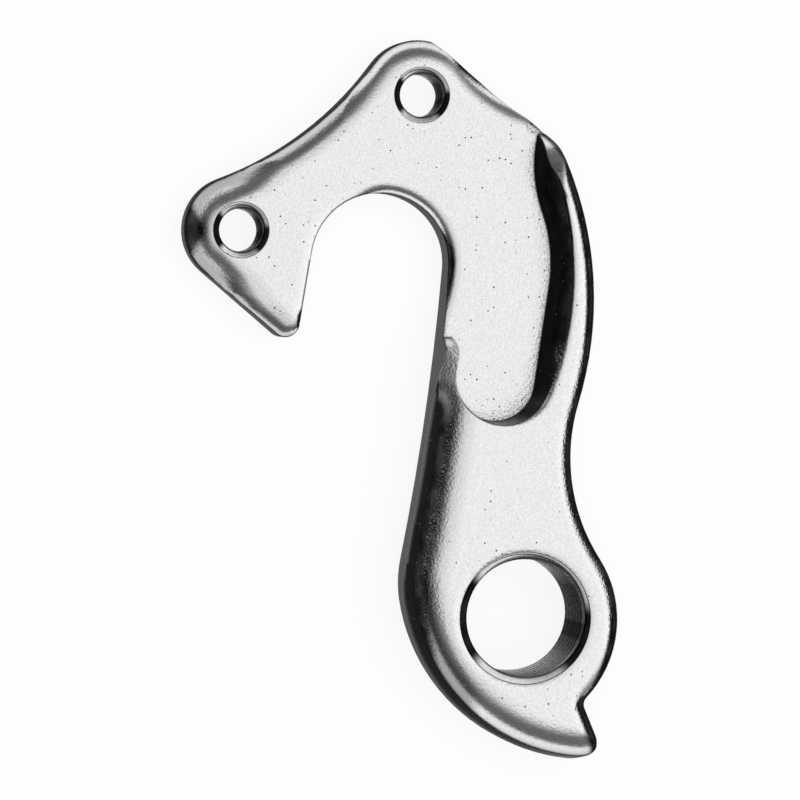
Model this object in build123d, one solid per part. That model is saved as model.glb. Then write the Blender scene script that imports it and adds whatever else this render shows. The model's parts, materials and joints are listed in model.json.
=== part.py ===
from build123d import *
import cmath
import math
import os

# Bicycle derailleur hanger: one forged and milled aluminium piece.
# It lies on its flat outboard face, z = 0, with the inboard face up. The origin is on the axis of
# the derailleur thread. Sizes are in millimetres, and each place is a pair (x, y).

# Thicknesses and heights
body_thickness = 7.6        # at the derailleur boss and along the lip
seat_thickness = 4.0        # the milled seat and the two tabs
parting_height = 3.2        # the forged flank is upright below this and leans in above it

# Threaded holes, as their tapping bores
derailleur_bore = 9.0       # M10 x 1
frame_bore = 3.3            # M4 x 0.7
top_hole = (-7.45, 40.2)
front_hole = (-21.5, 29.8)
derailleur_mouth = 10.2     # widest part of the inboard countersink
frame_mouth = 4.3
back_mouth_depth = 0.4      # of the countersinks at the flat face
mouth_angle = 90            # included angle of the countersinks
mouth_rounding = 0.8        # soft edge round the derailleur thread's inboard countersink

# Plan outline: lobes that bulge out, hollows that curve in, and the blends between them
top_tab_radius = 4.3
front_tab_radius = 4.2
tab_blend = 26.0            # hollow between the two tabs
leg_tip = (-17.95, 22.65)
leg_tip_radius = 1.1
axle_place = (-10.6, 27.3)
axle_slot_radius = 5.35
flank_radius = 205.0        # long shallow hollow from the slot down to the boss
hip_place = (0.25, 2.4)
hip_radius = 9.0            # front side of the boss
belly_radius = 14.55        # lower edge, from the boss to the tail
tail_place = (4.35, -9.75)
tail_radius = 1.5
boss_place = (-1.25, -0.25)
boss_radius = 8.7           # rear side of the boss
stop_radius = 0.75          # notch that takes the derailleur's stop screw
stop_angle = -43.8
neck_radius = 14.4          # rear hollow between boss and lip
lip_place = (-21.6, 24.5)
lip_radius = 27.2           # rear edge of the raised lip
shoulder_radius = 8.1
shoulder_angle = 22.8
shoulder_blend = 19.5       # hollow between shoulder and top tab

# Edges
tab_rounding = 1.0          # at the slot and the leg
tab_outer_rounding = 1.35   # broader round the outside of the tabs
lobe_rounding = 2.1         # broadest round the ends of the tabs
lobe_runout = 10.0          # path on which that one leaves the edge, on both sides of a lobe
tab_runout = 8.0            # path on which both roundings leave the edge, towards the lip
slot_runout = 12.0          # the same, down the slot
leg_runout = 12.0           # the same, for the broader one before the leg's tip
leg_runout_start = 0.35     # as a share of the leg's straight edge
rear_rounding = 1.4         # rear edge of the body and lip
flank_rounding = 2.8
flank_draft = 9.0
flank_top = 17.1            # height along the body, in y, where the leaning flank starts to end
flank_runout = 8.5          # path on which it leaves the edge there
flank_runout_angle = 27.0   # how far it turns on that path
flank_runout_end = 2.0      # radius on which it then turns away below the slot
tip_clearance = 0.1         # by which the rounding at the tail's tip stays clear of a point
nose_end_rounding = 4.0     # the body falls away towards the nose
nose_end = 21.5
lip_end_rounding = 5.0      # the lip falls away at its upper end
lip_end = 35.75
lip_end_turn = 15.0
back_rounding = 0.4

# Milled seat, seen in plan at its surface. Its wall leans outwards as it rises, more so
# at the lip than at the nose.
pad_place = (-1.81, 18.17)
pad_radius = 3.17
nose_place = (-6.35, 20.3)
nose_radius = 1.65
bulge_place = (-9.36, 27.27)
bulge_radius = 12.0
throat_place = (11.9, 34.82)
throat_radius = 10.56       # where the lip leans in over the seat
seat_draft = 9.0
seat_lean = (0.06, 0.11)    # sideways shift of the wall for each millimetre of height

# The forging's own shallower recess, whose steep upper edge shows above the milled wall
recess_depth = 3.0
recess_draft = 33.0
recess_rounding = 0.6
recess_pad_radius = 3.65
recess_pad_angle = -21.6    # of the recess's lower end, seen from the centre of its ridge
ridge_inset = 2.37          # the lip's inner top edge has this much less radius than its rear edge
ridge_shift = (0.62, 1.88)  # of that edge's centre from the rear edge's
recess_end_radius = 4.0
recess_end_angle = 27.0

# Tools that shape the forging
reach = 60.0                # how far they go past it
corner = 6.0                # their corner radius
overcut = 1.0               # how far a cut passes the surface that it breaks


def circle(place, radius):
    """Signed circle, as a complex centre and a radius, positive for a lobe, negative for a hollow."""
    return complex(*place), radius


def polar(centre, distance, angle):
    return centre + cmath.rect(distance, math.radians(angle))


def touch(first, second):
    """Point where two signed circles are tangent."""
    (c1, r1), (c2, r2) = first, second
    return c1 + (c2 - c1) * r1 / (r1 - r2)


def turn(centre, radius, start, end):
    """Angle swept from start to end, anticlockwise for a lobe and clockwise for a hollow."""
    sense = 1 if radius > 0 else -1
    return sense * cmath.phase((end - centre) / (start - centre)) % (2 * math.pi)


def blend(first, second, radius):
    """Circle of this signed radius that is tangent to two signed circles."""
    (c1, r1), (c2, r2) = first, second
    a, b, gap = abs(radius - r1), abs(radius - r2), abs(c2 - c1)
    along = (a * a - b * b + gap * gap) / (2 * gap)
    off = math.sqrt(a * a - along * along)
    choices = []
    for side in (1, -1):
        centre = c1 + (c2 - c1) / gap * complex(along, side * off)
        choice = (centre, radius)
        choices.append((turn(centre, radius, touch(first, choice), touch(choice, second)), choice))
    return min(choices, key=lambda pair: pair[0])[1]


def runout(on, point, radius):
    """Circle of this signed radius that touches another one at a point of its edge."""
    centre, edge_radius = on
    return point + (centre - point) * radius / edge_radius, radius


def tangent_ends(first, second):
    """Ends of the straight line that leaves one signed circle and joins the next."""
    (c1, r1), (c2, r2) = first, second
    lean = math.asin((r2 - r1) / abs(c2 - c1))
    normal = cmath.rect(1, cmath.phase(c2 - c1) - lean) * 1j
    return c1 - normal * r1, c2 - normal * r2


def outline_face(steps, height=0.0, grow=0.0, shift=0j):
    """Face inside a closed chain of signed circles, anticlockwise.

    Each step is a circle, or the word "line" for a straight run between its neighbours.
    Circles in a row touch. The edge can be moved outwards by grow, and all of it by shift.
    """
    circles = [(step[0] + shift, step[1] + grow) for step in steps if step != "line"]
    straight = []
    for step in steps:
        if step == "line":
            straight[-1] = True
        else:
            straight.append(False)
    joints = []
    for i, one in enumerate(circles):
        following = circles[(i + 1) % len(circles)]
        joints.append(tangent_ends(one, following) if straight[i] else (touch(one, following),) * 2)
    edges = []
    for i, (centre, radius) in enumerate(circles):
        start = joints[i - 1][1]
        end, following = joints[i]
        half = turn(centre, radius, start, end) / 2 * (1 if radius > 0 else -1)
        middle = centre + (start - centre) * cmath.rect(1, half)
        if abs(end - start) > 1e-4:
            edges.append(ThreePointArc(*((p.real, p.imag, height) for p in (start, middle, end))))
        if abs(following - end) > 1e-4:
            edges.append(Line(*((p.real, p.imag, height) for p in (end, following))))
    return make_face(edges)


def prism(steps, bottom, top):
    return extrude(outline_face(steps, bottom), top - bottom)


def slab(top):
    """Block that reaches past the hanger on every side, up to this height."""
    block = Box(4 * reach, 4 * reach, top + overcut, align=(Align.CENTER, Align.CENTER, Align.MIN))
    return Pos(0, 0, -overcut) * block


def top_edges(solid, height):
    """Edges that lie wholly at this height."""
    return solid.edges().filter_by_position(Axis.Z, height - 1e-3, height + 1e-3)


# Circles of the plan outline
top_tab = circle(top_hole, top_tab_radius)
front_tab = circle(front_hole, front_tab_radius)
leg = circle(leg_tip, leg_tip_radius)
slot = circle(axle_place, -axle_slot_radius)
hip = circle(hip_place, hip_radius)
tail = circle(tail_place, tail_radius)
boss = circle(boss_place, boss_radius)
stop = (polar(boss[0], boss_radius + stop_radius, stop_angle), -stop_radius)
lip = circle(lip_place, lip_radius)
shoulder = (polar(lip[0], lip_radius - shoulder_radius, shoulder_angle), shoulder_radius)
tab_hollow = blend(top_tab, front_tab, -tab_blend)
flank = blend(slot, hip, -flank_radius)
belly = blend(hip, tail, belly_radius)
neck = blend(boss, lip, -neck_radius)
shoulder_hollow = blend(shoulder, top_tab, -shoulder_blend)

plan = [top_tab, tab_hollow, front_tab, "line", leg, "line", slot, flank, hip, belly, tail,
        "line", stop, boss, neck, lip, shoulder, shoulder_hollow]

# Corners well clear of the hanger, which close the outlines of the shaping tools
top_left = circle((-reach, reach + top_hole[1] / 2), corner)
top_right = circle((reach, reach + top_hole[1] / 2), corner)
bottom_left = circle((-reach, -reach), corner)
bottom_right = circle((reach, -reach), corner)


def rear_form():
    """Body with the rounded rear edge of boss, neck, lip and shoulder."""
    ring = [tail, "line", stop, boss, neck, lip, shoulder, "line", top_left, "line", belly]
    form = prism(ring, -overcut, body_thickness)
    return fillet(top_edges(form, body_thickness), rear_rounding)


def flank_form():
    """Body with the leaning, rounded front flank, which ends below the nose and round the tail."""
    centre, radius = flank
    start = centre + cmath.rect(-radius, math.asin((flank_top - centre.imag) / -radius))
    path = runout(flank, start, -flank_runout)
    path_end = runout(path, polar(path[0], flank_runout, flank_runout_angle), -flank_runout_end)
    lean = (body_thickness - parting_height) * math.tan(math.radians(flank_draft))
    tip = runout(belly, touch(belly, tail), lean + flank_rounding + tip_clearance)
    high_left = circle((-reach, flank_top), corner)
    ring = [path_end, path, flank, hip, belly, tip, "line", top_right, "line", top_left, "line",
            high_left, "line"]
    upright = prism(ring, -overcut, parting_height)
    leaning = extrude(outline_face(ring, parting_height), body_thickness - parting_height,
                      taper=flank_draft)
    return upright + fillet(top_edges(leaning, body_thickness), flank_rounding)


def recess_form():
    """Body with the forged recess, whose rounded upper edge forms the ridge of the lip."""
    ridge = (lip[0] + complex(*ridge_shift), lip_radius - ridge_inset)
    pad_centre = polar(ridge[0], ridge[1] - recess_pad_radius, recess_pad_angle)
    end_centre = polar(ridge[0], ridge[1] - recess_end_radius, recess_end_angle)
    ring = [(pad_centre, recess_pad_radius), ridge, (end_centre, recess_end_radius), "line"]
    bottom = body_thickness - recess_depth
    shrink = recess_depth * math.tan(math.radians(recess_draft))
    recess = extrude(outline_face(ring, bottom, grow=-shrink), recess_depth, taper=-recess_draft)
    form = slab(body_thickness) - recess
    rim = [edge for edge in top_edges(form, body_thickness) if abs(edge.center().X) < reach
           and abs(edge.center().Y) < reach]
    return fillet(rim, recess_rounding)


def falling_end(end, rounding):
    """Body whose upper surface falls away to the seat towards this height along it, in y."""
    block = Pos(0, end - 2 * reach, 0) * slab(body_thickness)
    end_edge = top_edges(block, body_thickness).sort_by(Axis.Y)[-1]
    return slab(seat_thickness) + fillet(end_edge, rounding)


def lip_end_form():
    return Rot(0, 0, lip_end_turn) * falling_end(lip_end, lip_end_rounding)


def nose_end_form():
    """Body that falls away towards the nose, in front of the milled pad only."""
    rear = Pos(pad_place[0] + 2 * reach, 0, 0) * slab(body_thickness)
    return falling_end(nose_end, nose_end_rounding) + rear


def seat_tool():
    """What milling removes above the seat, with its leaning wall."""
    nose = circle(nose_place, -nose_radius)
    pad = circle(pad_place, pad_radius)
    bulge = circle(bulge_place, bulge_radius)
    throat = circle(throat_place, -throat_radius)
    low_left = circle((-reach, nose_place[1] - corner), corner)
    ring = [nose, "line", pad, "line", bulge, "line", throat, "line", top_right, "line",
            top_left, "line", low_left, "line"]
    height = body_thickness - seat_thickness + overcut
    grow = height * math.tan(math.radians(seat_draft))
    upper = outline_face(ring, seat_thickness + height, grow=grow, shift=height * complex(*seat_lean))
    return loft([outline_face(ring, seat_thickness), upper], ruled=True)


def edge_tool(ring, rounding):
    """What is rounded off along this outline, at the height of the seat."""
    kept = prism(ring, -overcut, seat_thickness)
    return slab(seat_thickness) - fillet(top_edges(kept, seat_thickness), rounding)


def lobe_tool(lobe, start, end, corners):
    """Broader rounding of a tab's end, between two points of its circle."""
    ring = [runout(lobe, start, -lobe_runout), lobe, runout(lobe, end, -lobe_runout), "line"]
    for one in corners:
        ring += [one, "line"]
    return edge_tool(ring, lobe_rounding)


def tab_edge_tools():
    """Roundings of the tabs' edges, which fade out down the slot and towards the lip."""
    slot_path = runout(slot, touch(slot, flank), -slot_runout)
    lip_path = runout(top_tab, touch(shoulder_hollow, top_tab), -tab_runout)
    mid_right = circle((reach, top_hole[1] / 2), corner)
    closing = ["line", bottom_left, "line", bottom_right, "line", mid_right, "line", lip_path]
    start, end = tangent_ends(front_tab, leg)
    outward = (start - front_tab[0]) / front_tab_radius
    leg_path = (start + (end - start) * leg_runout_start + outward * leg_runout, -leg_runout)
    outside = [top_tab, tab_hollow, front_tab, "line"]
    inner = edge_tool(outside + [leg, "line", slot, slot_path] + closing, tab_rounding)
    outer = edge_tool(outside + [leg_path] + closing, tab_outer_rounding)
    top_lobe = lobe_tool(top_tab, touch(shoulder_hollow, top_tab), touch(top_tab, tab_hollow),
                         (top_left, bottom_left, bottom_right, mid_right))
    front_lobe = lobe_tool(front_tab, touch(tab_hollow, front_tab), start,
                           (bottom_left, bottom_right, top_right, top_left))
    return inner, outer, top_lobe, front_lobe


def bore(place, diameter, mouth, thickness):
    """Through bore with a countersink at both faces."""
    slope = math.tan(math.radians(mouth_angle / 2))
    radius = diameter / 2
    depth = (mouth / 2 - radius) / slope
    side = [(0, -overcut), (radius + (back_mouth_depth + overcut) * slope, -overcut),
            (radius, back_mouth_depth), (radius, thickness - depth),
            (mouth / 2 + overcut * slope, thickness + overcut), (0, thickness + overcut)]
    profile = Plane.XZ * make_face(Polyline(*side, close=True))
    return Pos(*place) * revolve(profile, Axis.Z)


def hanger():
    body = prism(plan, 0, body_thickness)
    for form in (rear_form(), flank_form(), recess_form(), nose_end_form(), lip_end_form()):
        body = body & form
    for tool in (seat_tool(), *tab_edge_tools()):
        body = body - tool
    body = fillet(body.faces().sort_by(Axis.Z)[0].outer_wire().edges(), back_rounding)
    body -= bore((0, 0), derailleur_bore, derailleur_mouth, body_thickness)
    for place in (top_hole, front_hole):
        body -= bore(place, frame_bore, frame_mouth, seat_thickness)
    mouths = top_edges(body, body_thickness).filter_by(GeomType.CIRCLE)
    mouth = mouths.sort_by(lambda edge: abs(edge.radius - derailleur_mouth / 2))[0]
    return fillet(mouth, mouth_rounding)


if __name__ == "__main__":
    os.makedirs("parts", exist_ok=True)
    export_step(hanger(), "parts/hanger.step")
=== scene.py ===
import json
import math
from types import SimpleNamespace

import bpy
from mathutils import Matrix, Vector


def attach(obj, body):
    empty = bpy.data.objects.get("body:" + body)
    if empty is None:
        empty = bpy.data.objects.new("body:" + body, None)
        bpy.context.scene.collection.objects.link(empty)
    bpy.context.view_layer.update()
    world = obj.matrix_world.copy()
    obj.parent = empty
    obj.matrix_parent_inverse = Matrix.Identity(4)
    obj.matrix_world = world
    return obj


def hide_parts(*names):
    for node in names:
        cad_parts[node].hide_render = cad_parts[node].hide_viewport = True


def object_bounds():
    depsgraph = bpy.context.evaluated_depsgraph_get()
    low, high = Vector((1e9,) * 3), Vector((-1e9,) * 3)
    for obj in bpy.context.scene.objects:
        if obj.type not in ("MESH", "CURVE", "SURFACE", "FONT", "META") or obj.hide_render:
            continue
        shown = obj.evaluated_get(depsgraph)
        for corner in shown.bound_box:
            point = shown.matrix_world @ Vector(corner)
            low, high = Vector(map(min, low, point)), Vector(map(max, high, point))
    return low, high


bl_info = {
    "name": "Bicycle derailleur hanger",
    "version": (1, 0, 0),
    "blender": (4, 5, 0),
    "location": "3D View > Sidebar > Hanger",
    "description": "Threads, finish and studio for a forged and milled derailleur hanger",
    "category": "Object",
}

MM = 0.001
BLANK = "hanger"
PIECE = "derailleur_hanger"
WELD = 1e-7                      # points nearer than this, in metres, are merged
FLAT = math.radians(0.2)         # faces that meet at less than this become one
CREASE = math.radians(28)        # edges that turn by more than this stay crisp
THREAD_FLANK = math.radians(30)
BLACK = (0, 0, 0, 1)

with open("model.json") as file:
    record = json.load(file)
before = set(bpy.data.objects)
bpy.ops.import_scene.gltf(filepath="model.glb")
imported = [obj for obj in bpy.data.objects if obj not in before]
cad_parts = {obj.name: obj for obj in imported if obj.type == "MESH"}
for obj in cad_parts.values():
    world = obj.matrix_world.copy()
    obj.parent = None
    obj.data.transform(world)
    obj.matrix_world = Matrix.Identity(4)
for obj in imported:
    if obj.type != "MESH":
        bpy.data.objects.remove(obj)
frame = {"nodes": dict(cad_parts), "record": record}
cad_low, cad_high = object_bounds()
mounts = {mount["name"]: mount for mount in frame["record"]["mounts"]}


def mount_place(name):
    return Vector(mounts[name]["pos_m"])


# The blank's heights, places and radii in millimetres: x to the rear, y up the hanger
BODY_TOP = cad_high[2] / MM
SEAT_TOP = mount_place("seat").z / MM
DERAILLEUR_MOUTH = 5.1      # radius of the derailleur thread's countersink
DERAILLEUR_SINK = 0.6       # and its depth
FRAME_MOUTH = 2.15          # the same for the frame screws' threads
FRAME_SINK = 0.5
TOP_LOBE = mount_place("frame_thread_top").xy / MM
FRONT_LOBE = mount_place("frame_thread_front").xy / MM
TOP_LOBE_RADIUS = 4.3
FRONT_LOBE_RADIUS = 4.2
TAB_HOLLOW_RADIUS = 26.0
LEG_TIP = Vector((-17.95, 22.65))       # centre of the front leg's rounded tip
LEG_TIP_RADIUS = 1.1
AXLE = Vector((-10.6, 27.3))            # centre of the axle slot's round end
AXLE_SLOT_RADIUS = 5.35
SLOT_FRONT = -16.1          # x of the slot's straight front side, level with the axle
SLOT_SLOPE = 0.17           # by which that side leans
TAIL = Vector((4.35, -9.75))
TAIL_TURN = math.radians(23.6)          # by which the tail leans from the upright
LIP = Vector((-21.6, 24.5))             # centre of the lip's long curve
LIP_RADIUS = 27.2
SHOULDER_RADIUS = 8.1       # of the curve at the lip's upper end
SHOULDER_ANGLE = math.radians(22.8)     # in which that curve's centre lies, seen from the lip's

# Where single marks of the finish lie
NOSE_GLINT = (-5.56, 21.1)
SCUFF = (1.3, 37.75)
NICK = (4.0, -6.8)


class HangerThreads(bpy.types.PropertyGroup):
    """Sizes of the internal threads."""

    derailleur_major: bpy.props.FloatProperty(
        name="Derailleur thread", description="Major diameter of the thread for the derailleur",
        default=10 * MM, unit="LENGTH")
    derailleur_pitch: bpy.props.FloatProperty(
        name="Derailleur pitch", description="Distance between the derailleur thread's turns",
        default=1 * MM, unit="LENGTH")
    frame_major: bpy.props.FloatProperty(
        name="Frame thread", description="Major diameter of the threads for the frame screws",
        default=4 * MM, unit="LENGTH")
    frame_pitch: bpy.props.FloatProperty(
        name="Frame pitch", description="Distance between the frame threads' turns",
        default=0.7 * MM, unit="LENGTH")
    steps: bpy.props.IntProperty(
        name="Steps", description="Straight runs in each turn of a thread", default=72, min=12)


class HangerFinish(bpy.types.PropertyGroup):
    """Colours and texture of the aluminium, with the painted shade on its flanks, walls, holes and
    pits.
    """

    bright: bpy.props.FloatVectorProperty(
        name="Blasted face", description="Colour of the faces", subtype="COLOR",
        size=3, default=(0.92, 0.92, 0.92), min=0, max=1)
    # Painted shade: a near-black for the steep flanks, standing in for the dark surroundings they
    # would reflect
    flank_shade: bpy.props.FloatVectorProperty(
        name="Forged flank", description="Colour of the steep forged flanks", subtype="COLOR",
        size=3, default=(0.022, 0.022, 0.022), min=0, max=1)
    # Painted shade: a grey for the upright walls that stands in for the dim light they reflect
    wall: bpy.props.FloatVectorProperty(
        name="Sheared wall", description="Colour of the upright edges", subtype="COLOR",
        size=3, default=(0.28, 0.28, 0.28), min=0, max=1)
    # Painted shade inside the threaded holes
    bore: bpy.props.FloatVectorProperty(
        name="Tapped bore", description="Colour inside the threaded holes", subtype="COLOR",
        size=3, default=(0.16, 0.16, 0.16), min=0, max=1)
    speckle: bpy.props.FloatVectorProperty(
        name="Speckle", description="Colour of the blasting's finest specks", subtype="COLOR",
        size=3, default=(0.4, 0.4, 0.4), min=0, max=1)
    # Colour of real tool marks and wear, and of painted shade on the countersinks, the lip's upper
    # end, the tabs' outer band and the front flanks low down
    marks_and_painted_shade: bpy.props.FloatVectorProperty(
        name="Greyed face", description="Colour of tool marks, wear and the chamfers' greyer parts",
        subtype="COLOR", size=3, default=(0.1, 0.1, 0.1), min=0, max=1)
    # Painted shade inside the pits
    pit_shade: bpy.props.FloatVectorProperty(
        name="Pit", description="Colour inside the pits", subtype="COLOR",
        size=3, default=(0.02, 0.02, 0.02), min=0, max=1)
    edge_tint: bpy.props.FloatProperty(
        name="Edge tint", description="How bright the metal is where it is seen at a grazing angle",
        default=0.05, min=0, max=1, subtype="FACTOR")
    roughness: bpy.props.FloatProperty(
        name="Roughness", description="Roughness of the blasted faces", default=0.22,
        min=0, max=1, subtype="FACTOR")
    grain: bpy.props.FloatProperty(
        name="Grain", description="Width of the blasting's dimples", default=0.22 * MM,
        unit="LENGTH")
    grain_depth: bpy.props.FloatProperty(
        name="Grain depth", description="Depth of the blasting's dimples", default=0.042 * MM,
        unit="LENGTH", precision=6)
    pit_spacing: bpy.props.FloatProperty(
        name="Pit spacing", description="Typical distance between pits", default=0.45 * MM,
        unit="LENGTH")
    arris: bpy.props.FloatProperty(
        name="Arris", description="Width of the small rounding on sharp edges",
        default=0.3 * MM, unit="LENGTH", precision=6)
    tab_fall: bpy.props.FloatProperty(
        name="Tab edge", description="Width over which the tabs' faces bend down to their edge",
        default=2.1 * MM, unit="LENGTH", precision=5)
    lobe_fall: bpy.props.FloatProperty(
        name="Lobe edge", description="The same round the end of the front tab",
        default=2.7 * MM, unit="LENGTH", precision=5)


class HangerStage(bpy.types.PropertyGroup):
    """Camera, floor and light."""

    distance: bpy.props.FloatProperty(
        name="Camera distance", description="From the camera to what it looks at",
        default=0.4, unit="LENGTH")
    lean_left: bpy.props.FloatProperty(
        name="Camera to the left", description="Angle by which the camera stands to the left",
        default=math.radians(9.4), subtype="ANGLE")
    lean_up: bpy.props.FloatProperty(
        name="Camera above", description="Angle by which the camera stands above",
        default=math.radians(1.5), subtype="ANGLE")
    target: bpy.props.FloatVectorProperty(
        name="Target", description="Point in the middle of the view", subtype="TRANSLATION",
        size=3, default=(-9.18 * MM, 16.71 * MM, 4.03 * MM))
    lens: bpy.props.FloatProperty(
        name="Lens", description="Focal length in millimetres on a 36 mm wide sensor",
        default=233.6)
    floor: bpy.props.FloatVectorProperty(
        name="Floor", description="Colour of the floor", subtype="COLOR", size=3,
        default=(0.93, 0.93, 0.93), min=0, max=1)
    floor_white: bpy.props.FloatProperty(
        name="Floor white", description="Share of plain white in the floor that is seen",
        default=0.88, min=0, max=1, subtype="FACTOR")
    floor_radius: bpy.props.FloatProperty(
        name="Floor radius", description="Radius of the round floor", default=1.5, unit="LENGTH")
    floor_gap: bpy.props.FloatProperty(
        name="Floor gap", description="How far the floor lies below the hanger",
        default=0.02 * MM, unit="LENGTH", precision=6)
    lamp_height: bpy.props.FloatProperty(
        name="Lamp height", description="Height of the overhead lamp", default=0.9, unit="LENGTH")
    lamp_aside: bpy.props.FloatProperty(
        name="Lamp to the rear", description="How far the lamp stands to the rear of the hanger",
        default=0.15, unit="LENGTH")
    lamp_size: bpy.props.FloatProperty(
        name="Lamp size", description="Diameter of the overhead lamp", default=1.2, unit="LENGTH")
    lamp_power: bpy.props.FloatProperty(
        name="Lamp power", description="Power of the overhead lamp in watts", default=5.5)


class Value:
    """One value socket, whose operators add Math nodes."""

    def __init__(self, graph, socket):
        self.graph = graph
        self.socket = socket

    def maths(self, operation, *others, first=None):
        sockets = [first if first is not None else self, *others]
        node = self.graph.node("ShaderNodeMath", {"operation": operation}, dict(enumerate(sockets)))
        return Value(self.graph, node.outputs[0])

    def __add__(self, other):
        return self.maths("ADD", other)

    __radd__ = __add__

    def __mul__(self, other):
        return self.maths("MULTIPLY", other)

    __rmul__ = __mul__

    def __sub__(self, other):
        return self.maths("SUBTRACT", other)

    def __rsub__(self, other):
        return self.maths("SUBTRACT", self, first=other)

    def __truediv__(self, other):
        return self.maths("DIVIDE", other)

    def __pow__(self, other):
        return self.maths("POWER", other)

    def __abs__(self):
        return self.maths("ABSOLUTE")

    def __neg__(self):
        return self * -1

    def below(self, other):
        return self.maths("LESS_THAN", other)

    def smallest(self, other):
        return self.maths("MINIMUM", other)

    def largest(self, other):
        return self.maths("MAXIMUM", other)

    def band(self, middle, half, fade):
        """1 within a half width of the middle, and a smooth step down to 0 on both sides."""
        return 1 - abs(self - middle).rise(half, half + fade)

    def rise(self, low, high):
        """0 at low, 1 at high, and a smooth step between them."""
        settings = {"interpolation_type": "SMOOTHSTEP", "clamp": True}
        node = self.graph.node("ShaderNodeMapRange", settings,
                               {"Value": self, "From Min": low, "From Max": high})
        return Value(self.graph, node.outputs["Result"])


class Graph:
    """A node tree, with one method that adds any node."""

    def __init__(self, tree):
        self.tree = tree
        tree.nodes.clear()

    def node(self, kind, settings=None, inputs=None):
        node = self.tree.nodes.new(kind)
        for name, setting in (settings or {}).items():
            setattr(node, name, setting)
        for name, given in (inputs or {}).items():
            socket = node.inputs[name]
            if isinstance(given, Value):
                given = given.socket
            if isinstance(given, bpy.types.NodeSocket):
                self.tree.links.new(given, socket)
            else:
                socket.default_value = given
        return node

    def parts(self, vector):
        """The three components of a vector."""
        node = self.node("ShaderNodeSeparateXYZ", inputs={0: vector})
        return [Value(self, output) for output in node.outputs]

    def mix(self, factor, first, second):
        """Colour between two others."""
        node = self.node("ShaderNodeMix", {"data_type": "RGBA"}, {0: factor, 6: first, 7: second})
        return node.outputs[2]

    def blend(self, factor, first, second):
        """Direction between two others."""
        node = self.node("ShaderNodeMix", {"data_type": "VECTOR"}, {0: factor, 4: first, 5: second})
        return self.vector_maths("NORMALIZE", node.outputs[1]).outputs["Vector"]

    def vector_maths(self, operation, *vectors):
        return self.node("ShaderNodeVectorMath", {"operation": operation},
                         dict(enumerate(vectors)))

    def dot(self, first, second):
        """Cosine of the angle between two directions."""
        return Value(self, self.vector_maths("DOT_PRODUCT", first, second).outputs["Value"])

    def unit_sum(self, first, second):
        """Direction of the sum of two vectors."""
        total = self.vector_maths("ADD", first, second).outputs["Vector"]
        return self.vector_maths("NORMALIZE", total).outputs["Vector"]

    def bevel(self, radius):
        """The face's direction as it would be if its edges were rounded."""
        return self.node("ShaderNodeBevel", {"samples": 8}, {"Radius": radius}).outputs[0]

    def join(self, x, y, z):
        """A vector from its three components."""
        return self.node("ShaderNodeCombineXYZ", inputs={0: x, 1: y, 2: z}).outputs[0]

    def noise(self, place, width, detail=2.0, roughness=0.5):
        node = self.node("ShaderNodeTexNoise", inputs={
            "Vector": place, "Scale": 1 / width, "Detail": detail, "Roughness": roughness})
        return Value(self, node.outputs["Fac"])


def deselect():
    if bpy.context.object and bpy.context.object.mode != "OBJECT":
        bpy.ops.object.mode_set(mode="OBJECT")
    bpy.ops.object.select_all(action="DESELECT")


def activate(obj):
    deselect()
    obj.select_set(True)
    bpy.context.view_layer.objects.active = obj


def apply_modifier(obj, kind, **settings):
    activate(obj)
    modifier = obj.modifiers.new(kind.title(), kind)
    for name, setting in settings.items():
        setattr(modifier, name, setting)
    if bpy.ops.object.modifier_apply(modifier=modifier.name) != {"FINISHED"}:
        raise RuntimeError(f"{kind} couldn't be applied to {obj.name}")


def add_tap(place, bore, major, pitch, length, steps, overlap=0.3 * MM):
    """Helical cutter whose tooth reaches from inside the bore out to the major diameter."""
    deselect()
    root_width = pitch / 8
    core = bore / 2 - overlap
    depth = major / 2 - core
    bpy.ops.mesh.primitive_plane_add(size=1, location=place, rotation=(math.pi / 2, 0, 0))
    tap = bpy.context.object
    tap.name = "tap"
    bpy.ops.object.mode_set(mode="EDIT")
    bpy.ops.mesh.select_all(action="SELECT")
    bpy.ops.transform.resize(value=(depth, 1, root_width))
    bpy.ops.transform.translate(value=(core + depth / 2, 0, -length / 2))
    bpy.ops.mesh.select_mode(type="VERT")
    bpy.ops.mesh.select_all(action="DESELECT")
    bpy.ops.object.mode_set(mode="OBJECT")
    bpy.ops.object.transform_apply(location=False, rotation=True, scale=True)
    middle = sum(vertex.co.x for vertex in tap.data.vertices) / len(tap.data.vertices)
    for vertex in tap.data.vertices:
        vertex.select = vertex.co.x < middle
    bpy.ops.object.mode_set(mode="EDIT")
    core_width = root_width + 2 * depth * math.tan(THREAD_FLANK)
    bpy.ops.transform.resize(value=(1, 1, core_width / root_width))
    bpy.ops.object.mode_set(mode="OBJECT")
    turns = math.ceil(length / pitch)
    apply_modifier(tap, "SCREW", axis="Z", angle=math.tau, screw_offset=pitch, steps=steps,
                   render_steps=steps, iterations=turns, use_merge_vertices=True,
                   merge_threshold=WELD, use_smooth_shade=False)
    bpy.ops.object.mode_set(mode="EDIT")
    bpy.ops.mesh.select_all(action="SELECT")
    bpy.ops.mesh.remove_doubles(threshold=WELD)
    bpy.ops.mesh.fill_holes(sides=4)
    bpy.ops.mesh.normals_make_consistent(inside=False)
    bpy.ops.object.mode_set(mode="OBJECT")
    return tap


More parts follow.
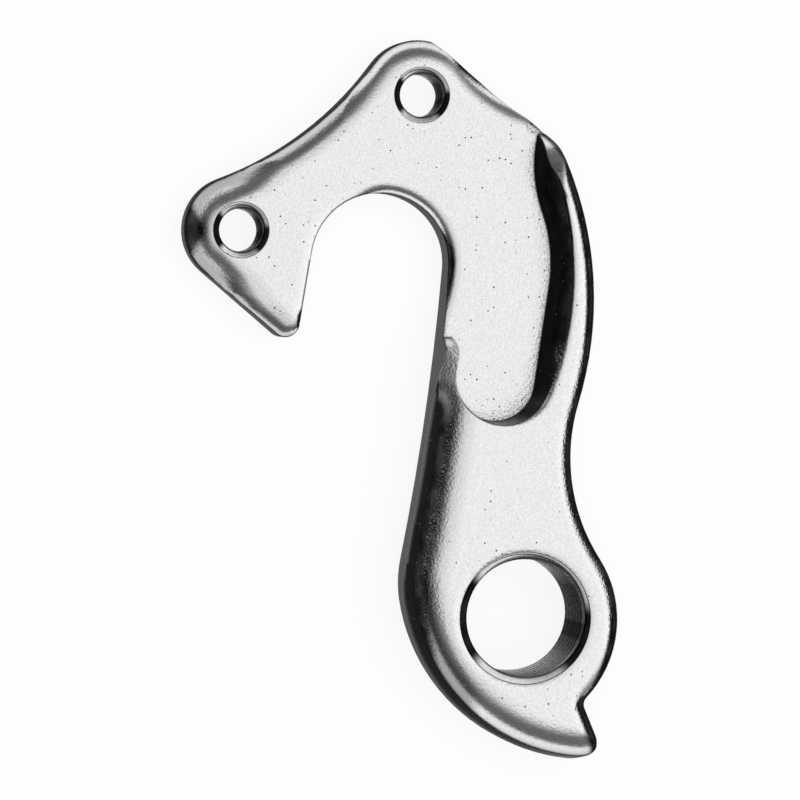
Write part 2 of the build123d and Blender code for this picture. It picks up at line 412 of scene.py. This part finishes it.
class HANGER_OT_blank(bpy.types.Operator):
    """Makes a welded copy of the forged and milled blank"""

    bl_idname = "hanger.blank"
    bl_label = "Forged blank"

    def execute(self, context):
        node = frame["nodes"][BLANK]
        piece = bpy.data.objects.new(PIECE, node.data.copy())
        context.scene.collection.objects.link(piece)
        activate(piece)
        piece.data.materials.clear()
        bpy.ops.object.mode_set(mode="EDIT")
        bpy.ops.mesh.select_all(action="SELECT")
        bpy.ops.mesh.remove_doubles(threshold=WELD)
        bpy.ops.mesh.customdata_custom_splitnormals_clear()
        bpy.ops.mesh.dissolve_limited(angle_limit=FLAT)
        bpy.ops.object.mode_set(mode="OBJECT")
        return {"FINISHED"}


class HANGER_OT_threads(bpy.types.Operator):
    """Cuts the derailleur's thread and the frame screws' threads"""

    bl_idname = "hanger.threads"
    bl_label = "Threads"

    def execute(self, context):
        sizes = context.scene.hanger_threads
        piece = bpy.data.objects[PIECE]
        body, seat = BODY_TOP * MM, SEAT_TOP * MM
        for name, height, major, pitch in (
                ("derailleur_thread", body, sizes.derailleur_major, sizes.derailleur_pitch),
                ("frame_thread_top", seat, sizes.frame_major, sizes.frame_pitch),
                ("frame_thread_front", seat, sizes.frame_major, sizes.frame_pitch)):
            place = mount_place(name)
            place.z = height / 2
            bore = 2 * mounts[name]["dims"]["r_mm"] * MM
            tap = add_tap(place, bore, major, pitch, height + 2 * pitch, sizes.steps)
            apply_modifier(piece, "BOOLEAN", object=tap, operation="DIFFERENCE", solver="EXACT")
            bpy.data.objects.remove(tap)
        return {"FINISHED"}


class HANGER_OT_shading(bpy.types.Operator):
    """Shades the roundings smooth and keeps the milled arrises crisp"""

    bl_idname = "hanger.shading"
    bl_label = "Smooth roundings"

    def execute(self, context):
        piece = bpy.data.objects[PIECE]
        activate(piece)
        bpy.ops.object.shade_smooth_by_angle(angle=CREASE)
        apply_modifier(piece, "WEIGHTED_NORMAL", keep_sharp=True, weight=60, mode="FACE_AREA")
        return {"FINISHED"}


class Surface:
    """Where each point of the hanger lies, in millimetres, and which way it faces.

    Its masks are upright for the walls, inboard for the half with the seat, and raised for
    what stands above the seat.
    """

    def __init__(self, graph):
        coordinates = graph.node("ShaderNodeTexCoord").outputs
        self.place = coordinates["Object"]
        self.x, self.y, self.z = (axis / MM for axis in graph.parts(self.place))
        self.facing = graph.node("ShaderNodeNewGeometry").outputs["Normal"]
        self.up = graph.parts(coordinates["Normal"])[2]
        self.upright = 1 - abs(self.up).rise(0.04, 0.12)
        self.inboard = self.z.rise(2.6, 3.2)
        self.raised = self.z.rise(SEAT_TOP + 0.1, SEAT_TOP + 0.3)

    def offset(self, centre):
        """How far a point lies behind and above a centre, seen in plan."""
        return self.x - centre[0], self.y - centre[1]

    def distance(self, centre):
        across, along = self.offset(centre)
        return (across * across + along * along) ** 0.5

    def turned(self, centre, angle):
        """The offset from a centre along two axes that are turned by an angle."""
        across, along = self.offset(centre)
        cosine, sine = math.cos(angle), math.sin(angle)
        return across * cosine + along * sine, along * cosine - across * sine


def countersinks(threads):
    """Each hole's centre, pitch, mouth radius, countersink depth and face height, in millimetres."""
    boss = mount_place("derailleur_thread").xy / MM
    coarse, fine = threads.derailleur_pitch / MM, threads.frame_pitch / MM
    return ((boss, coarse, DERAILLEUR_MOUTH, DERAILLEUR_SINK, BODY_TOP),
            (TOP_LOBE, fine, FRAME_MOUTH, FRAME_SINK, SEAT_TOP),
            (FRONT_LOBE, fine, FRAME_MOUTH, FRAME_SINK, SEAT_TOP))


def tapped_holes(graph, at, threads):
    """Masks of the tapped holes.

    within is all of them. bores is their threaded walls, and pale is painted light on those
    walls' upper and lower sides. sunk is painted shade on the countersinks' front and rear sides,
    and grey is painted shade that greys the countersinks, more towards the rear. lines is
    painted shade on the rims, the turns of the threads, the line where bore and countersink meet
    and a strip down each bore. funnel is how the countersinks tip the face's direction.
    """
    mask = SimpleNamespace(bores=0, pale=0, within=0, sunk=0, lines=0, grey=0)
    mask.funnel = (0, 0, 0)
    for centre, pitch, mouth, deep, top in countersinks(threads):
        dx, dy = at.offset(centre)
        reach = at.distance(centre)
        cosine, sine = dx / reach, dy / reach
        inside = 1 - reach.rise(mouth + 0.01, mouth + 0.05)
        foot = top - deep
        high = at.z.rise(foot - 0.02, foot + 0.02)
        sunk = inside * high
        bore = inside * (1 - high)
        # Painted shade: the countersinks' front and rear sides are darkened, and the rest greyed, by
        # the way they face
        front = (-cosine).rise(0.66, 0.84)
        rear = (cosine * 0.93 - sine * 0.37).rise(0.78, 0.92)
        mask.bores = mask.bores + bore
        mask.pale = mask.pale + inside * abs(sine).rise(0.45, 0.95)
        mask.within = mask.within + inside
        mask.sunk = mask.sunk + sunk * front.largest(rear)
        mask.grey = mask.grey + sunk * (cosine.rise(-0.2, 0.5) * 0.35 + 0.2)

        # Painted shade: dark strokes along the thread's turns, the rim and the countersink's foot,
        # and a strip of painted shadow down each bore
        turn = at.z / pitch - dy.maths("ARCTAN2", dx) / math.tau
        groove = 1 - turn.maths("PINGPONG", 0.5).rise(0.08, 0.22)
        shadow = (cosine * 0.97 - sine * 0.245).rise(0.985, 0.995)
        rim = reach.band(mouth, 0.01, 0.04) * high
        mask.lines = mask.lines + rim * 0.8 + inside * at.z.band(foot, 0.05, 0.08) * 0.9
        mask.lines = mask.lines + bore * groove * 0.7 + bore * shadow * 0.8
        slope = graph.join(cosine * sunk * 0.45, sine * sunk * 0.45, 0)
        mask.funnel = graph.vector_maths("ADD", mask.funnel, slope).outputs["Vector"]
    return mask


def pits_on(graph, at, look):
    """Mask of small round pits, scattered over the whole part."""
    cells = graph.node("ShaderNodeTexVoronoi", {"feature": "F1"}, {
        "Vector": at.place, "Scale": 1 / look.pit_spacing, "Randomness": 1.0})
    chance = graph.parts(cells.outputs["Color"])[0]
    size = chance.rise(0.62, 1.0) * 0.10
    pits = 1 - (Value(graph, cells.outputs["Distance"]) - size).rise(0.0, 0.06)
    return pits * chance.rise(0.6, 0.64)


def slot_side(at):
    """How crisp the seat stays beside the axle slot's front side, and the painted shade that draws a
    dark line along that side.
    """
    across, along = at.offset(AXLE)
    straight = (SLOT_FRONT - at.x) + along * SLOT_SLOPE + along.rise(0.2, 1.7) * 20
    edge = (at.distance(AXLE) - AXLE_SLOT_RADIUS).smallest(straight)
    front = (1 - at.x.rise(-13, -10)) * at.y.rise(22, 24.5) * at.inboard
    return (1 - edge.rise(0.9, 1.6)) * front * (1 - at.upright), (1 - edge.rise(0.08, 0.2)) * front


def nose_top(at):
    """Mask of the nose's rounded top beside the seat, and how far it leans to the front."""
    top = at.y.rise(15.5, 18.5) * (1 - at.y.rise(21.8, 22.2)) * (1 - at.x.rise(-4.9, -4.4))
    corner = (1 - at.x.rise(-6.6, -6.2)) * (1 - at.y.rise(18, 19.5))
    glint = 1 - at.distance(NOSE_GLINT).rise(0.05, 0.4)
    return top * (1 - corner) * at.raised * (1 - at.upright), at.x * 0.07 - 0.14 + glint * 0.3


def outer_meeting(first, first_reach, second, second_reach):
    """The point at two distances from two centres, on the side of the tabs' outer edge."""
    between = second - first
    gap = between.length
    along = (first_reach ** 2 - second_reach ** 2 + gap ** 2) / (2 * gap)
    aside = math.sqrt(first_reach ** 2 - along ** 2)
    way = between / gap
    return first + way * along + Vector((way.y, -way.x)) * aside


def tab_edges(at, look):
    """How far the tabs' faces have fallen near their outer edge, and the painted shade that greys a
    band along it.

    The edge is the hollow between the two lobes, the end of the front lobe, and the front
    leg's straight side, which touches the lobe and the leg's tip.
    """
    hollow = outer_meeting(TOP_LOBE, TAB_HOLLOW_RADIUS + TOP_LOBE_RADIUS,
                           FRONT_LOBE, TAB_HOLLOW_RADIUS + FRONT_LOBE_RADIUS)
    down = LEG_TIP - FRONT_LOBE
    turn = math.acos((FRONT_LOBE_RADIUS - LEG_TIP_RADIUS) / down.length)
    heading = math.atan2(down.y, down.x) - turn
    outwards = Vector((math.cos(heading), math.sin(heading)))
    to_hollow = (hollow - FRONT_LOBE).normalized()
    middle = (outwards + to_hollow).normalized()
    to_top = (TOP_LOBE - FRONT_LOBE).normalized()

    across, along = at.offset(FRONT_LOBE)
    from_lobe = at.distance(FRONT_LOBE)
    leg = FRONT_LOBE_RADIUS - across * outwards.x - along * outwards.y
    inside = (at.distance(hollow) - TAB_HOLLOW_RADIUS).smallest(leg)
    rounded = ((across * middle.x + along * middle.y) / from_lobe).rise(0.46, 0.55)
    inside = inside + (FRONT_LOBE_RADIUS - from_lobe - inside) * rounded

    lobe = 1 - from_lobe.rise(3.5, 6.5)
    width = lobe * ((look.lobe_fall - look.tab_fall) / MM) + look.tab_fall / MM
    share = 1 - (across * to_top.x + along * to_top.y).rise(11, 16)
    share = share * at.y.rise(20, 21)
    fall = (1 - inside.rise(0.2, width)) * (lobe * 0.15 + 0.45) * share * (1 - at.up.below(-0.5))
    # Painted shade: greys a band along the tabs' outer edge, more round the front lobe
    fringe_shade = (1 - inside.rise(0.5, 1.2)) * (lobe * 0.25 + 0.25) * share * at.up.rise(0.1, 0.2)
    return fall, fringe_shade


def mouth_fall(at):
    """The soft outer edge of the derailleur thread's countersink."""
    reach = at.distance(mount_place("derailleur_thread").xy / MM)
    ring = 1 - reach.rise(DERAILLEUR_MOUTH, DERAILLEUR_MOUTH + 0.65)
    ring = ring * reach.rise(DERAILLEUR_MOUTH - 0.05, DERAILLEUR_MOUTH)
    return ring * at.z.rise(BODY_TOP - 0.6, BODY_TOP - 0.4) * 0.04


def painted_dark_flanks(at, tilt, holes_at, slot_edge_shade, edge):
    """Mask of painted shade on the steep flanks: a dark colour that stands in for the dark
    surroundings they would reflect.

    The nose gets less of this painted shade, and the tail, the lip's upper end and the steepest
    rim get more. The slot's outline, the holes' dark rims and thread grooves and the arrises are
    painted dark in it too, as painted shade.
    """
    nx, ny, nz = tilt
    flat = abs(nz)
    smooth = 1 - at.upright
    rear = nx.rise(0, 0.1)
    lip_end = at.x.rise(0.5, 1.5) * at.y.rise(28, 29) * (1 - at.y.rise(33.8, 34.6)) * (1 - rear)
    painted_shade = abs(nx) - abs(ny) * (0.5 - rear * 0.3) * (1 - lip_end) + rear * 0.2 + lip_end * 0.1
    painted_shade = painted_shade.rise(0.52, 0.68) * smooth * (1 - holes_at.bores)
    nose = at.y.rise(14.5, 19.5) * (1 - at.y.rise(21.5, 22.5)) * (1 - at.x.rise(-3.5, -2.5))
    nose = nose * at.raised * flat.rise(0.25, 0.5) * at.x.rise(-9, -8)
    painted_shade = painted_shade * (1 - nose * at.x.rise(-6.8, -5.2) * 0.6 - nose * 0.1)

    across, along = at.turned(TAIL, TAIL_TURN)
    tail = (across - (along - 0.5).largest(0) * 0.35).rise(0.35, 0.9)
    tail = tail * (1 - at.y.rise(-7, -6.4)) * smooth * at.x.rise(2, 3) * at.inboard
    rim = (1 - flat.rise(0.28, 0.42)) * smooth * (1 - holes_at.bores)
    shoulder = LIP + (LIP_RADIUS - SHOULDER_RADIUS) * Vector(
        (math.cos(SHOULDER_ANGLE), math.sin(SHOULDER_ANGLE)))
    lip = 1 - (SHOULDER_RADIUS - at.distance(shoulder)).rise(0.2, 0.5)
    lip = lip * at.y.rise(33.5, 34.5) * at.raised
    painted_shade = painted_shade.largest(rim * 0.85).largest(holes_at.sunk).largest(lip * 0.9)
    painted_shade = painted_shade.largest(tail).largest(slot_edge_shade * 0.85)
    return painted_shade.largest(holes_at.lines.smallest(1) * 0.9).largest(edge * 0.8)


def tool_marks(graph, at, flat):
    """Mask of the band that the milling cutter left on the seat, at the foot of its wall."""
    foot = (1 - graph.dot(graph.bevel(0.6 * MM), at.facing)).rise(0.004, 0.04)
    foot = foot * at.z.band(SEAT_TOP, 0.02, 0.02) * at.x.rise(-6.5, -5.5)
    return foot * at.y.rise(13, 14) * (1 - at.y.rise(36, 38)) * flat.rise(0.8, 0.95)


def wear(at, marks):
    """Mask of the scuff at the lip's upper end and the nick beside the tail's notch."""
    scuff = 1 - at.distance(SCUFF).rise(0.35, 0.75)
    across, along = at.offset(NICK)
    nick = 1 - abs(across * 0.95 - along * 0.3).rise(0.03, 0.08)
    nick = nick * (1 - abs(across * 0.3 + along * 0.95).rise(0.3, 0.45))
    return (scuff * marks).largest(nick) * at.inboard


def shade(colour, share=1.0):
    """A colour as a socket takes it, made lighter or darker."""
    return (*(share * part for part in colour), 1)


def blasted_aluminium(look, threads):
    """Bright blasted faces, with painted shade that darkens the steep flanks, the sheared walls and
    the tapped bores.
    """
    material = bpy.data.materials.new("blasted_aluminium")
    material.use_nodes = True
    graph = Graph(material.node_tree)
    at = Surface(graph)
    holes_at = tapped_holes(graph, at, threads)
    grain = graph.noise(at.place, look.grain, 2.5, 0.6)
    pits = pits_on(graph, at, look)

    # Direction of the face, with rounded arrises, a crisp slot and a smooth nose
    arris = graph.bevel(look.arris)
    crisp, slot_edge_shade = slot_side(at)
    nose, lean = nose_top(at)
    # Painted shade: a dark line along the arrises, left out in the holes and fainter on the nose
    edge = (1 - graph.dot(arris, at.facing)).rise(0.015, 0.07) * (1 - holes_at.within)
    edge = edge * (1 - nose * 0.8)
    normal = graph.blend(crisp * 0.7, arris, (0, 0, 1))
    normal = graph.blend(nose * 0.9, normal, graph.join(lean, 0, 0.83))
    normal = graph.unit_sum(normal, holes_at.funnel)
    tab_fall, fringe_shade = tab_edges(at, look)
    fall = tab_fall + mouth_fall(at)
    smoother = (1 - at.up.rise(0.93, 0.995)) * (1 - at.y.band(10.5, 9.5, 2))
    smoother = smoother.largest(fall.rise(0.02, 0.15))
    height = (grain - 0.5) * (1 - smoother * 0.65) - pits * 2
    bump = graph.node("ShaderNodeBump", inputs={
        "Strength": 1.0, "Distance": MM, "Height": height * (look.grain_depth / MM) - fall,
        "Normal": normal})
    local = graph.node("ShaderNodeVectorTransform", {
        "vector_type": "NORMAL", "convert_from": "WORLD", "convert_to": "OBJECT"},
        {"Vector": bump.outputs["Normal"]})
    nx, ny, nz = graph.parts(local.outputs["Vector"])
    # Painted shade: dark on the steep flanks, the slot's side, the arrises and the holes
    painted_shade = painted_dark_flanks(at, (nx, ny, nz), holes_at, slot_edge_shade, edge)

    # Greyer stretches of the faces: real tool marks and wear, and painted shade on the countersinks,
    # the lip's upper end, the tabs' outer band and the front flanks low down
    marks = graph.noise(at.place, 0.16 * MM, 2, 0.6).rise(0.40, 0.62)
    # Painted shade: a grey patch at the lip's upper end
    lip_foot_shade = at.x.rise(0.6, 1.0) * (1 - at.x.rise(2.8, 3.2)) * at.y.rise(32.6, 33.4)
    lip_foot_shade = lip_foot_shade * (1 - at.y.rise(34.4, 35.4)) * at.raised
    # Painted shade: greys the front flanks low down
    flank_shade = (-nx).rise(0.3, 0.45) * (1 - at.y.rise(2, 4)) * (1 - at.x.rise(-4.5, -3)) * at.inboard
    grey = (tool_marks(graph, at, abs(nz)) * marks * 0.7).largest(holes_at.grey)
    grey = grey.largest(lip_foot_shade * 0.85).largest(wear(at, marks) * 0.9)
    grey = grey.largest(fringe_shade).largest(flank_shade * 0.6)

    # Colours, from the broadest to the smallest
    # Painted shade on the upright walls, darker still where they face up the hanger below the seat,
    # and painted light on the recess's walls, which take the bright face colour
    lit_pocket_wall = at.raised * at.x.rise(-5.6, -5.3) * (1 - at.x.rise(2.2, 2.6)) * at.y.rise(13.5, 14)
    walls = graph.mix(ny.rise(0.2, 0.8) * (1 - at.raised), shade(look.wall), shade(look.wall, 0.4))
    walls = graph.mix(lit_pocket_wall, walls, shade(look.bright))
    tone = graph.mix(at.upright, shade(look.bright), walls)
    speckle = graph.noise(at.place, 0.12 * MM, 1, 0.5).rise(0.3, 0.7)
    tone = graph.mix(speckle * 0.25, tone, shade(look.speckle))
    tone = graph.mix(grey, tone, shade(look.marks_and_painted_shade))
    # Painted shade inside the threaded holes, with painted light on their upper and lower sides
    bore = graph.mix(holes_at.pale, shade(look.bore), shade(look.bore, 4.5))
    tone = graph.mix(holes_at.bores, tone, bore)
    # Painted shade: a patchy near-black on the steep flanks, and black on the countersinks' front
    # and rear sides
    patches = graph.noise(at.place, 1.5 * MM).rise(0.35, 0.65)
    forged = graph.mix(patches, shade(look.flank_shade), shade(look.flank_shade, 2.2))
    forged = graph.mix(holes_at.sunk * 0.7, forged, BLACK)
    tone = graph.mix(painted_shade, tone, forged)
    # Painted shade: the pits are darkened nearly to black
    tone = graph.mix(pits * 0.9, tone, shade(look.pit_shade))
    rough = look.roughness + (grain - 0.5) * 0.10 + pits * 0.4 + at.upright * 0.25
    shader = graph.node("ShaderNodeBsdfPrincipled", inputs={
        "Base Color": tone, "Metallic": 1 - (painted_shade - holes_at.sunk).largest(0) * 0.07,
        "Roughness": rough, "Specular Tint": (*[look.edge_tint] * 3, 1),
        "Normal": bump.outputs["Normal"]})
    graph.node("ShaderNodeOutputMaterial", inputs={"Surface": shader.outputs[0]})
    return material


class HANGER_OT_finish(bpy.types.Operator):
    """Gives the hanger its blasted and milled aluminium"""

    bl_idname = "hanger.finish"
    bl_label = "Aluminium finish"

    def execute(self, context):
        piece = bpy.data.objects[PIECE]
        piece.data.materials.append(
            blasted_aluminium(context.scene.hanger_finish, context.scene.hanger_threads))
        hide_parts(BLANK)
        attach(piece, "root")
        return {"FINISHED"}


def add_camera(stage):
    """The photo's camera, level with the picture's edges and aimed at the target."""
    target = Vector(stage.target)
    away = Vector((-math.sin(stage.lean_left) * math.cos(stage.lean_up),
                   math.sin(stage.lean_up),
                   math.cos(stage.lean_left) * math.cos(stage.lean_up)))
    deselect()
    bpy.ops.object.camera_add(location=target + away * stage.distance)
    camera = bpy.context.object
    camera.name = "photo_camera"
    right = Vector((0, 1, 0)).cross(away).normalized()
    up = away.cross(right)
    turn = Matrix((right, up, away)).transposed()
    camera.rotation_euler = turn.to_euler()
    camera.data.sensor_width = 36
    camera.data.lens = stage.lens
    camera.data.clip_start = 0.01
    return camera


def pale_floor(stage):
    """Paint that is nearly plain white where it is seen, and still takes the hanger's shadow."""
    paint = bpy.data.materials.new("pale_floor")
    paint.use_nodes = True
    graph = Graph(paint.node_tree)
    lit = graph.node("ShaderNodeBsdfDiffuse", inputs={"Color": shade(stage.floor)})
    path = graph.node("ShaderNodeLightPath").outputs
    seen = Value(graph, path["Is Camera Ray"]).largest(Value(graph, path["Is Glossy Ray"]))
    seen = seen.largest(Value(graph, path["Is Transmission Ray"]))
    white = graph.node("ShaderNodeEmission", inputs={"Color": (1, 1, 1, 1), "Strength": 1.0})
    shader = graph.node("ShaderNodeMixShader", inputs={
        0: seen * stage.floor_white, 1: lit.outputs[0], 2: white.outputs[0]})
    graph.node("ShaderNodeOutputMaterial", inputs={"Surface": shader.outputs[0]})
    return paint


def add_floor(stage, middle):
    """A round floor just below the hanger."""
    deselect()
    bpy.ops.mesh.primitive_circle_add(vertices=96, radius=stage.floor_radius, fill_type="NGON",
                                      location=(middle.x, middle.y, -stage.floor_gap))
    floor = bpy.context.object
    floor.name = "studio_floor"
    floor.data.materials.append(pale_floor(stage))
    return floor


def studio_sky():
    """A white panel overhead that ends at the sides, with a dim room round it."""
    world = bpy.data.worlds.new("studio")
    world.use_nodes = True
    graph = Graph(world.node_tree)
    x, y, _ = graph.parts(graph.node("ShaderNodeTexCoord").outputs["Generated"])
    panel = 1 - ((y * y + x * x * 0.35) ** 0.5).rise(0.42, 0.82)
    sides = x.rise(-0.98, -0.60) * (1 - x.rise(0.80, 0.98))
    level = (panel * 0.87 + 0.13) * sides * (x * 0.3 + 0.92) + 0.01
    sky = graph.node("ShaderNodeBackground", inputs={"Color": (1, 1, 1, 1), "Strength": level})
    graph.node("ShaderNodeOutputWorld", inputs={"Surface": sky.outputs[0]})
    return world


def add_lamp(stage, middle):
    """A large soft lamp overhead that the metal doesn't mirror."""
    deselect()
    bpy.ops.object.light_add(
        type="AREA", location=(middle.x + stage.lamp_aside, middle.y, stage.lamp_height))
    lamp = bpy.context.object
    lamp.name = "overhead_fill"
    lamp.data.shape = "DISK"
    lamp.data.size = stage.lamp_size
    lamp.data.energy = stage.lamp_power
    lamp.rotation_euler = (0, math.atan2(stage.lamp_aside, stage.lamp_height), 0)
    lamp.visible_glossy = False


class HANGER_OT_stage(bpy.types.Operator):
    """Sets up the camera, the pale floor and the studio light"""

    bl_idname = "hanger.stage"
    bl_label = "Studio"

    def execute(self, context):
        stage = context.scene.hanger_stage
        middle = (Vector(cad_low) + Vector(cad_high)) / 2
        context.scene.view_settings.view_transform = "Standard"
        context.scene.camera = add_camera(stage)
        context.scene.world = studio_sky()
        add_floor(stage, middle)
        add_lamp(stage, middle)
        return {"FINISHED"}


class HANGER_PT_panel(bpy.types.Panel):
    """Lists the hanger's steps and sizes"""

    bl_label = "Hanger"
    bl_idname = "HANGER_PT_panel"
    bl_space_type = "VIEW_3D"
    bl_region_type = "UI"
    bl_category = "Hanger"

    def draw(self, context):
        for group in (context.scene.hanger_threads, context.scene.hanger_finish,
                      context.scene.hanger_stage):
            box = self.layout.box()
            for name in group.__annotations__:
                box.prop(group, name)
        for step in STEPS:
            self.layout.operator(step.bl_idname)


GROUPS = {"hanger_threads": HangerThreads, "hanger_finish": HangerFinish,
          "hanger_stage": HangerStage}
STEPS = (HANGER_OT_blank, HANGER_OT_threads, HANGER_OT_shading, HANGER_OT_finish,
         HANGER_OT_stage)


def register():
    for name, group in GROUPS.items():
        bpy.utils.register_class(group)
        setattr(bpy.types.Scene, name, bpy.props.PointerProperty(type=group))
    for step in STEPS:
        bpy.utils.register_class(step)
    bpy.utils.register_class(HANGER_PT_panel)


def unregister():
    bpy.utils.unregister_class(HANGER_PT_panel)
    for step in reversed(STEPS):
        bpy.utils.unregister_class(step)
    for name, group in GROUPS.items():
        delattr(bpy.types.Scene, name)
        bpy.utils.unregister_class(group)


def main():
    register()
    bpy.ops.hanger.blank()
    bpy.ops.hanger.threads()
    bpy.ops.hanger.shading()
    bpy.ops.hanger.finish()
    bpy.ops.hanger.stage()


if __name__ == "__main__":
    main()
